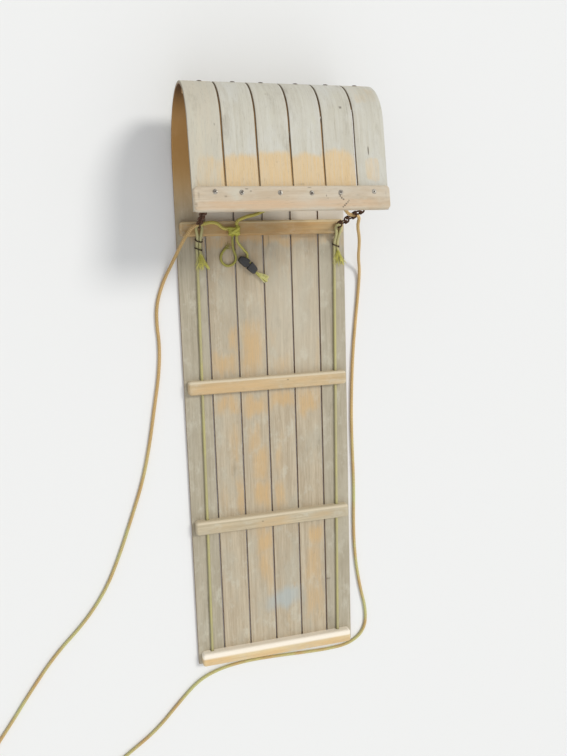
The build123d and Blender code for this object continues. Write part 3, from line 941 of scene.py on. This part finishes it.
def cord_paint(name, lit, deep, faded, far_painted_light=None, knot_lit=None):
    """One rope's yellow. far_painted_light is painted light: a paler, greener yellow far behind the nose;
    knot_lit is its colour between the chains.
    """
    material, tree, place = new_paint(name)
    inputs = {"Place": place, "Weave": attribute(tree, "weave")}
    inputs |= {"Lit": shade(*lit), "Deep": shade(*deep), "Faded": shade(*faded)}
    if far_painted_light:
        x, y, z = split(place)
        # Painted light: far behind the nose the rope turns paler and greener.
        away = ramp(y, -0.30, 0.0, 1.0, 0.0)
        between = ramp(abs(x), 0.140, 0.165, 1.0, 0.0) * ramp(away, 0.0, 0.1, 1.0, 0.0)
        inputs["Lit"] = mix(between, mix(away, shade(*lit), shade(*far_painted_light)), shade(*knot_lit))
        inputs["Faded"] = mix(between, shade(*faded), shade(*knot_lit))
    surface(tree, grouped(tree, cord_look, inputs), 0.6, 0.0003)
    return material


def laid_line(name, points):
    """The smooth line that a rope takes by its given points, as a mesh of edges and a list of points."""
    curve = bpy.data.curves.new(name, "CURVE")
    curve.dimensions = "3D"
    curve.resolution_u = 20
    spline = curve.splines.new("NURBS")
    spline.points.add(len(points) - 1)
    for control, place in zip(spline.points, points):
        control.co = (*place, 1)
    spline.order_u = 3
    spline.use_endpoint_u = True
    holder = bpy.data.objects.new(name, curve)
    bpy.context.collection.objects.link(holder)
    mesh = bpy.data.meshes.new_from_object(holder.evaluated_get(bpy.context.evaluated_depsgraph_get()))
    bpy.data.objects.remove(holder)
    return mesh, [tuple(vertex.co) for vertex in mesh.vertices]


def joined_lines(name, lines):
    """One mesh of edges that holds several lines of points."""
    points = []
    edges = []
    for line in lines:
        edges += [(len(points) + step, len(points) + step + 1) for step in range(len(line) - 1)]
        points += [tuple(point) for point in line]
    mesh = bpy.data.meshes.new(name)
    mesh.from_pydata(points, edges, [])
    return mesh


braided_rope = rope_tree()
fray = fray_tree()
side_paint = cord_paint("side rope", (208, 200, 142), (144, 138, 80), (200, 192, 148))
spent_paint = cord_paint("frayed rope", (232, 226, 118), (150, 146, 62), (214, 210, 124))
for side, eye_x, eye_y, tail_x, screw_x, ring_count in side_rope_table:
    near = eye_x - strand_x
    far = eye_x + strand_x
    side_y = eye_y - rope_eye_half + rope_eye_corner
    route = [
        (tail_x, rope_end_y, side_rope_z),
        (near, held_end_y, side_rope_z),
        (near, *bound_start),
        (near, *rise_foot),
        (near, *rise_head),
        (eye_x - rope_eye_half, side_y, rope_eye_z),
        (eye_x - rope_eye_corner, eye_y, rope_eye_z),
        (eye_x + rope_eye_corner, eye_y, rope_eye_z),
        (eye_x + rope_eye_half, side_y, rope_eye_z),
        (far, *rise_head),
        (far, *rise_foot),
        (far, *bound_start),
        (far + 0.008, bound_start[0] - 0.010, side_rope_z + 0.0005),
        (far + 0.005, bound_start[0] - 0.021, side_rope_z),
    ]
    line_mesh, line = laid_line(f"side rope line {side}", route)
    values = {"Radius": side_rope_radius, "Cell": 0.0060, "Relief": 0.0006, "Material": side_paint}
    side_rope = made_by(braided_rope, f"side_rope_{side}_braid", line_mesh, values)
    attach(side_rope, "root")
    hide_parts(f"side_rope_{side}")
    values = {"Count": 90, "Length": 0.042, "Spread": 0.26, "Out": (0.06, -1.0, 0.0), "Seed": 5 + ring_count}
    values |= {"Width": 0.0005, "Rest": fibre_rest_z, "Bow": 0.30, "Material": spent_paint}
    fray_start = (far + 0.001, bound_start[0] + 0.002, 0.0135)
    tuft = made_by(fray, f"side_rope_{side}_fray", point_cloud("rope end", [fray_start]), values)
    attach(tuft, "root")

# Ring clamps: soft steel wire, now brown, closed round both strands of the side rope's doubled end. Two
# hold the left rope and one the right.
clamp_path_radius = 0.0050
clamp_wire_radius = 0.0014
clamp_tilt = 0.34
clamp_pitch = 0.0028
clamp_turns = 1.2
clamp_steps = 40
wire_spacing = 0.0008
wire_sides = 12


def wire_tree():
    """Round wire along a line."""
    tree, given, result = geometry_tree("wire", Float="Radius", Material="Material")
    path = add(tree, "GeometryNodeMeshToCurve", {"Mesh": given["Geometry"]})
    path = add(tree, "GeometryNodeResampleCurve", {"Curve": path, "Length": wire_spacing}, mode="LENGTH")
    return painted(tree, tube(tree, path, circle(tree, wire_sides, given["Radius"])), given, result)


def clamp_line(eye_x, foot, head):
    """A wire's line round both strands, wound a little more than once about the run from foot to head."""
    run = Vector((0, head[0] - foot[0], head[1] - foot[1])).normalized()
    run = (run + Vector((clamp_tilt, 0, 0))).normalized()
    middle = Vector((eye_x, (foot[0] + head[0]) / 2, (foot[1] + head[1]) / 2))
    rise = Vector((1, 0, 0)).cross(run).normalized()
    side = run.cross(rise)
    points = []
    for step in range(int(clamp_steps * clamp_turns) + 1):
        turn = step / clamp_steps
        angle = 2 * pi * turn - pi / 2
        out = side * cos(angle) + rise * sin(angle)
        shift = side * strand_x * (1 if cos(angle) > 0.01 else -1 if cos(angle) < -0.01 else 0)
        points.append(middle + out * clamp_path_radius + shift + run * clamp_pitch * (turn - clamp_turns / 2))
    return points


wire = wire_tree()
clamp_paint = steel_paint("clamp steel", (70, 62, 56), (74, 50, 36), 0.6)
for side, eye_x, eye_y, tail_x, screw_x, ring_count in side_rope_table:
    runs = [(bound_start, rise_foot), (rise_foot, rise_head)][:ring_count]
    lines = [clamp_line(eye_x, foot, head) for foot, head in runs]
    values = {"Radius": clamp_wire_radius, "Material": clamp_paint}
    rings = made_by(wire, f"ring_clamps_{side}", joined_lines("ring lines", lines), values)
    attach(rings, "root")
    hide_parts(f"rope_clamps_{side}")

# Screw eyes and chains: a rusty steel chain of ten links on each side runs from the side rope's eye up to
# a screw eye under the lip, and so holds the curl down. Each link hangs at a right angle in the one
# before it.
lip_eye_run = 0.158
eye_ring_radius = 0.006
eye_wire_radius = 0.0016
eye_drop = 0.0149
eye_thread = 0.008
eye_steps = 46
link_wire = 0.0036
link_width = 0.0165
link_count = 10
link_bend_steps = 7
link_bend_relief = 0.0001
link_looseness = 0.12


def chain_tree():
    """Oval links in a row, each turned a quarter turn from the one before it."""
    inputs = {"Vector": "First Step", "Float": "Inner", "Int": "Count", "Material": "Material"}
    tree, given, result = geometry_tree("chain", **inputs)
    size = {"Width": link_width - link_wire, "Height": given["Inner"] + link_wire}
    link = add(tree, "GeometryNodeCurvePrimitiveQuadrilateral", size)
    bend_radius = (link_width - link_wire) / 2 - link_bend_relief
    bends = {"Curve": link, "Radius": bend_radius, "Count": link_bend_steps}
    link = add(tree, "GeometryNodeFilletCurve", bends, mode="POLY")
    link = tube(tree, link, circle(tree, wire_sides, link_wire / 2), capped=False)
    line = {"Count": given["Count"], "Start Location": given["First"], "Offset": given["Step"]}
    points = add(tree, "GeometryNodeMeshLine", line)
    quarter = (add(tree, "GeometryNodeInputIndex") + 1.0) * (pi / 2)
    loose = drawn(tree, -link_looseness, link_looseness, 3)
    rotation = turned(tree, aimed_at(tree, given["Step"], "Y"), (0, 1, 0), quarter + loose)
    return painted(tree, on_points(tree, points, link, rotation), given, result)


chain = chain_tree()
chain_paint = steel_paint("chain steel", (84, 66, 54), (104, 66, 42), 0.75)
for side, eye_x, eye_y, tail_x, screw_x, ring_count in side_rope_table:
    seat = lip_start + lip_along * lip_eye_run + Vector((screw_x, 0, 0))
    ring_centre = seat - lip_out * eye_drop
    across = lip_out.cross(Vector((1, 0, 0)))
    eye_line = [seat + lip_out * eye_thread]
    for step in range(eye_steps - 1):
        angle = 2 * pi * step / eye_steps
        eye_line.append(ring_centre + (lip_out * cos(angle) + across * sin(angle)) * eye_ring_radius)
    values = {"Radius": eye_wire_radius, "Material": chain_paint}
    screw_eye = made_by(wire, f"screw_eye_{side}", joined_lines("eye line", [eye_line]), values)
    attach(screw_eye, "root")
    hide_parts(f"lip_eye_{side}")

    rope_point = Vector((eye_x, eye_y, rope_eye_z))
    eye_bottom = ring_centre - Vector((0, 0, eye_ring_radius))
    along = (eye_bottom - rope_point).normalized()
    foot = rope_point - along * (side_rope_radius + seat_gap + link_wire / 2)
    head = eye_bottom + along * (eye_wire_radius + seat_gap + link_wire / 2)
    link_step = ((head - foot).length - link_wire - seat_gap) / link_count
    link_inner = link_step + seat_gap
    values = {"First": foot + along * (link_wire + link_inner) / 2, "Step": along * link_step}
    values |= {"Inner": link_inner, "Count": link_count, "Material": chain_paint}
    links = made_by(chain, f"chain_{side}", bpy.data.meshes.new("links"), values)
    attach(links, "root")
    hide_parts(f"nose_chain_{side}")

# Tow rope: one long braided rope that leaves the knot to the left through the left chain's first link and
# lies on the floor in a wide bight behind the tail. It comes up on the right through a link of the right
# chain, and returns under the curl to the knot.
tow_rope_radius = 0.004
ground = 0.004
on_bed = 0.0113
knot_z = 0.0373
tow_rope_route = [
    (-0.0893, 0.389, knot_z), (-0.099, 0.389, knot_z), (-0.112, 0.402, 0.041), (-0.128, 0.4045, 0.043),
    (-0.145, 0.4005, 0.0437), (-0.164, 0.399, 0.0441), (-0.181, 0.382, 0.042), (-0.197, 0.354, 0.03),
    (-0.215, 0.318, 0.015), (-0.238, 0.274, ground), (-0.255, 0.226, ground), (-0.258, 0.18, ground),
    (-0.254, 0.13, ground), (-0.259, 0.064, ground), (-0.275, -0.018, ground), (-0.291, -0.104, ground),
    (-0.312, -0.19, ground), (-0.345, -0.28, ground), (-0.377, -0.364, ground),
    (-0.414, -0.446, ground), (-0.468, -0.52, ground), (-0.543, -0.592, ground),
    (-0.606, -0.676, ground), (-0.654, -0.746, ground), (-0.7, -0.808, ground),
    (-0.725, -0.876, ground), (-0.712, -0.944, ground), (-0.662, -0.99, ground),
    (-0.592, -1.004, ground), (-0.522, -0.98, ground), (-0.456, -0.932, ground),
    (-0.393, -0.888, ground), (-0.318, -0.838, ground), (-0.254, -0.77, ground),
    (-0.204, -0.722, ground), (-0.146, -0.701, ground), (-0.082, -0.694, ground),
    (-0.012, -0.695, ground), (0.062, -0.699, ground), (0.134, -0.702, ground), (0.2, -0.698, ground),
    (0.243, -0.666, ground), (0.248, -0.61, ground), (0.231, -0.54, ground), (0.219, -0.456, ground),
    (0.216, -0.366, ground), (0.219, -0.276, ground), (0.217, -0.186, ground), (0.215, -0.098, ground),
    (0.217, -0.01, ground), (0.222, 0.08, ground), (0.23, 0.16, ground), (0.238, 0.226, ground),
    (0.242, 0.284, 0.007), (0.229, 0.316, 0.032), (0.221, 0.344, 0.06), (0.21, 0.365, 0.088),
    (0.196, 0.387, 0.113), (0.196, 0.4097, 0.1306), (0.169, 0.4097, 0.1318), (0.161, 0.423, 0.13),
    (0.145, 0.436, 0.116), (0.127, 0.445, 0.092), (0.108, 0.45, 0.062), (0.082, 0.451, 0.032),
    (0.05, 0.447, on_bed), (0.02, 0.437, on_bed), (-0.002, 0.427, 0.014), (-0.02, 0.42, 0.02),
    (-0.038, 0.417, 0.0285), (-0.055, 0.412, 0.0355), (-0.068, 0.4055, knot_z),
    (-0.068, 0.3968, knot_z),
]
# The fourth colour is painted light, for the rope far behind the nose.
tow_colours = [(240, 202, 138), (132, 98, 52), (226, 192, 130), (222, 224, 154), (220, 212, 106)]
tow_paint = cord_paint("tow rope", *tow_colours)
tow_mesh, tow_line = laid_line("tow rope line", tow_rope_route)
values = {"Radius": tow_rope_radius, "Cell": 0.0084, "Relief": 0.0010, "Material": tow_paint}
tow_rope = made_by(braided_rope, "tow_rope_braid", tow_mesh, values)
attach(tow_rope, "root")
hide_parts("tow_rope")

# Knot: the tow rope's two ends tied together and pulled tight on top of the first crossbar. Each end goes
# in on its own side, is wound round both with the other, and comes out towards the tail.
knot_rope_radius = 0.0038
knot_x = -0.074
knot_half_x = 0.0108
knot_half_z = 0.0046
knot_out_y = 0.3712
steps_per_turn = 9
# For each rope end: where it comes in, x where it comes out, first angle round the knot, y of the first
# and the last wrap, turns
knot_wraps = [
    ((-0.0893, 0.3890), -0.069, pi, 0.3905, 0.3770, 1.55),
    ((-0.0680, 0.3968), -0.079, 0.15 * pi, 0.3915, 0.3765, 1.40),
]
knot_lines = []
for (in_x, in_y), out_x, first_angle, first_y, last_y, turns in knot_wraps:
    route = [(in_x, in_y, knot_z)]
    steps = int(turns * steps_per_turn)
    for step in range(steps + 1):
        share = step / steps
        angle = first_angle - 2 * pi * turns * share
        y = first_y + (last_y - first_y) * share
        route.append((knot_x + knot_half_x * cos(angle), y, knot_z + knot_half_z * sin(angle)))
    route += [(out_x, last_y - 0.0008, knot_z), (out_x, knot_out_y, knot_z)]
    knot_lines.append(laid_line("knot line", route)[1])
# One strand crosses over the wraps
knot_bridge = [
    (-0.0850, 0.3765, 0.0360),
    (-0.0835, 0.3785, 0.0410),
    (-0.0780, 0.3815, 0.0434),
    (-0.0700, 0.3870, 0.0434),
    (-0.0645, 0.3905, 0.0410),
    (-0.0625, 0.3920, 0.0360),
]
knot_lines.append(laid_line("knot line", knot_bridge)[1])
knot_paint = cord_paint("knot rope", (222, 216, 92), (120, 116, 38), (202, 196, 88))
values = {"Radius": knot_rope_radius, "Cell": 0.0062, "Relief": 0.0007, "Material": knot_paint}
knot = made_by(braided_rope, "knot_wraps", joined_lines("knot lines", knot_lines), values)
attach(knot, "root")
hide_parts("join_knot")

# Spare ends: the tow rope's two braided ends behind the knot. One hangs down behind the crossbar and
# curls back on itself, the other goes through the cord lock and ends in a frayed tuft beyond it.
tail_radius = 0.003
tail_rope_z = 0.0103
lock_z = 0.0143
loop_route = [
    (-0.079, 0.3712, knot_z),
    (-0.079, 0.363, knot_z),
    (-0.077, 0.354, 0.0275),
    (-0.073, 0.341, 0.015),
    (-0.065, 0.324, tail_rope_z),
    (-0.072, 0.309, tail_rope_z),
    (-0.089, 0.304, tail_rope_z),
    (-0.102, 0.315, tail_rope_z),
    (-0.103, 0.333, tail_rope_z),
    (-0.091, 0.345, tail_rope_z),
]
lock_route = [
    (-0.069, 0.3712, knot_z),
    (-0.069, 0.363, knot_z),
    (-0.062, 0.354, 0.027),
    (-0.050, 0.343, 0.0155),
    (-0.0387, 0.3314, lock_z),
    (-0.0423, 0.3221, lock_z),
    (-0.0223, 0.2897, lock_z),
    (-0.0156, 0.2823, lock_z),
    (-0.005, 0.273, tail_rope_z + 0.001),
    (0.006, 0.267, tail_rope_z),
]
# Painted shade: the hanging loop's darker olive yellow stands for the loop lying further from the light.
loop_shade_paint = cord_paint("loop end", (182, 176, 84), (106, 102, 38), (168, 160, 86))
lock_paint = cord_paint("lock end", (220, 212, 110), (122, 116, 44), (210, 204, 120))
pale_paint = cord_paint("bleached fray", (238, 234, 160), (170, 164, 84), (228, 224, 158))
values = {"Radius": tail_radius, "Cell": 0.0052, "Relief": 0.0005}
loop_mesh, loop_line = laid_line("loop line", loop_route)
loop_rope = made_by(braided_rope, "loop_end_braid", loop_mesh, values | {"Material": loop_shade_paint})
lock_mesh, lock_line = laid_line("lock line", lock_route)
lock_rope = made_by(braided_rope, "lock_end_braid", lock_mesh, values | {"Material": lock_paint})
values = {"Count": 26, "Length": 0.016, "Spread": 0.45, "Width": 0.0004, "Rest": fibre_rest_z, "Bow": 0.42}
values |= {"Out": (0.9, 0.5, 0.1), "Seed": 11, "Material": loop_shade_paint}
loop_fray = made_by(fray, "loop_end_fray", point_cloud("rope end", [loop_line[-1]]), values)
values = {"Count": 120, "Length": 0.036, "Spread": 0.22, "Width": 0.0006, "Rest": fibre_rest_z, "Bow": 0.12}
values |= {"Out": (0.84, -0.54, -0.02), "Seed": 12, "Material": pale_paint}
lock_fray = made_by(fray, "lock_end_fray", point_cloud("rope end", [(-0.0215, 0.2885, 0.0125)]), values)

# Cord lock: a stepped barrel of black moulded plastic, threaded on the spare end and lying flat on the
# slats. It is scuffed grey in places.
lock_origin = Vector((-0.059, 0.311, lock_z))
lock_axis = Vector((31, -26, 0)).normalized()
lock_across = Vector((26, 31, 0)).normalized()
lock_sides = 28
lock_square = 0.30
millimetre = 0.001
# Along the axis, lower and upper edge across it, half thickness, in millimetres
lock_table = [
    (-8.0, 5.0, 13.0, 5.4),
    (-7.0, 3.6, 14.4, 6.6),
    (-3.0, 1.0, 17.2, 7.0),
    (3.0, 0.2, 19.2, 7.0),
    (9.0, 0.0, 20.2, 7.0),
    (15.4, 0.0, 19.8, 7.0),
    (16.2, 0.8, 19.0, 6.2),
    (16.3, 2.6, 14.4, 4.8),
    (20.6, 2.6, 14.4, 4.8),
    (20.7, 0.8, 19.4, 6.2),
    (21.4, 0.0, 20.4, 7.0),
    (30.0, 0.0, 19.2, 7.0),
    (39.0, 0.2, 16.2, 7.0),
    (41.6, 1.4, 14.2, 6.6),
    (42.4, 3.0, 12.4, 5.4),
]


def squared(value):
    """A sine or cosine drawn out so that a circle turns into a rounded square."""
    return abs(value) ** lock_square * (1 if value > 0 else -1)


def lofted(name, rings):
    """A closed mesh through rings that all have the same number of points."""
    points = [tuple(point) for ring in rings for point in ring]
    count = len(rings[0])
    faces = []
    for row in range(len(rings) - 1):
        for step in range(count):
            after = (step + 1) % count
            low = row * count
            faces.append((low + step, low + after, low + count + after, low + count + step))
    faces.append(tuple(reversed(range(count))))
    faces.append(tuple(range(len(points) - count, len(points))))
    mesh = bpy.data.meshes.new(name)
    mesh.from_pydata(points, [], faces)
    mesh.shade_smooth()
    mesh.set_sharp_from_angle(angle=radians(28))
    return mesh


lock_rings = []
for run, low, high, half in lock_table:
    ring = []
    for step in range(lock_sides):
        angle = 2 * pi * step / lock_sides
        wide = (high + low) / 2 + (high - low) / 2 * squared(cos(angle))
        point = lock_origin + (lock_axis * run + lock_across * wide) * millimetre
        ring.append(point + Vector((0, 0, half * squared(sin(angle)) * millimetre)))
    lock_rings.append(ring)
lock = bpy.data.objects.new("lock_barrel", lofted("lock_barrel", lock_rings))
bpy.context.collection.objects.link(lock)
lock_black, lock_nodes, lock_place = new_paint("black plastic")
scuff = noise(lock_place, (420, 420, 420), 5, 0.7)
grit = noise(lock_place, (1800, 1800, 1800), 2)
bare_black = mix(ramp(grit, 0.4, 0.7), shade(44, 44, 46), shade(62, 60, 58))
scuffed = mix(ramp(scuff, 0.55, 0.72, 0.0, 0.55), bare_black, shade(118, 112, 104))
lock_look = {"Color": scuffed, "Roughness": ramp(scuff, 0.4, 0.7, 0.38, 0.7), "Height": grit}
surface(lock_nodes, lock_look, 0.3, 0.0002)
lock.data.materials.append(lock_black)
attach(lock, "root")
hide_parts("cord_lock")
for piece in (loop_rope, loop_fray, lock_rope, lock_fray):
    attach(piece, "root")
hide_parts("tail_rope_loop")
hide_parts("tail_rope_lock", "tail_rope_end")
